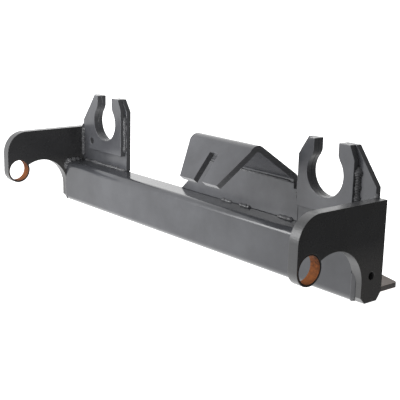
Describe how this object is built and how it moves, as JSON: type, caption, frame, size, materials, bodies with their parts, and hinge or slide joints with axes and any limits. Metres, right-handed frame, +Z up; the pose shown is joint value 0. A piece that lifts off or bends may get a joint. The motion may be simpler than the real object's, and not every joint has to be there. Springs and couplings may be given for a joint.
{
  "type": "quick coupler",
  "caption": "Welded steel quick coupler: hollow cross beam with pivot-boss end plates, open-top saddles on its rear edge, a bent hood with a latch slot on a web, and a rear foot plate.",
  "frame": {"origin": "middle of the bounding box in plan, on the underside of the beam and the end plates' feet", "axes": "X along the cross beam, toward the end nearer the hood; Y from the pivot bosses to the rear foot plate; Z up"},
  "size_m": [1, 0.315, 0.272],
  "materials": {
    "frame_paint": "satin black paint on steel plate, edges flame cut",
    "bush_steel": "bare steel with a brown film of rust and grease",
    "weld_paint": "satin black paint over rippled weld beads"
  },
  "bodies": {
    "root": {"cross_beam": "frame_paint", "left_end_plate": "frame_paint", "right_end_plate": "frame_paint", "left_saddle_front_plate": "frame_paint", "left_saddle_back_plate": "frame_paint", "right_saddle_front_plate": "frame_paint", "right_saddle_back_plate": "frame_paint", "web_plate": "frame_paint", "hood_plate": "frame_paint", "rear_foot_plate": "frame_paint", "left_pivot_bush": "bush_steel", "right_pivot_bush": "bush_steel", "left_beam_weld": "weld_paint", "right_beam_weld": "weld_paint", "left_saddle_side_weld": "weld_paint", "right_saddle_side_weld": "weld_paint", "left_saddle_base_weld": "weld_paint", "right_saddle_base_weld": "weld_paint", "left_gusset_weld": "weld_paint", "right_gusset_weld": "weld_paint", "web_base_weld": "weld_paint", "web_end_weld": "weld_paint", "hood_weld": "weld_paint", "foot_plate_weld": "weld_paint"}
  },
  "joints": []
}
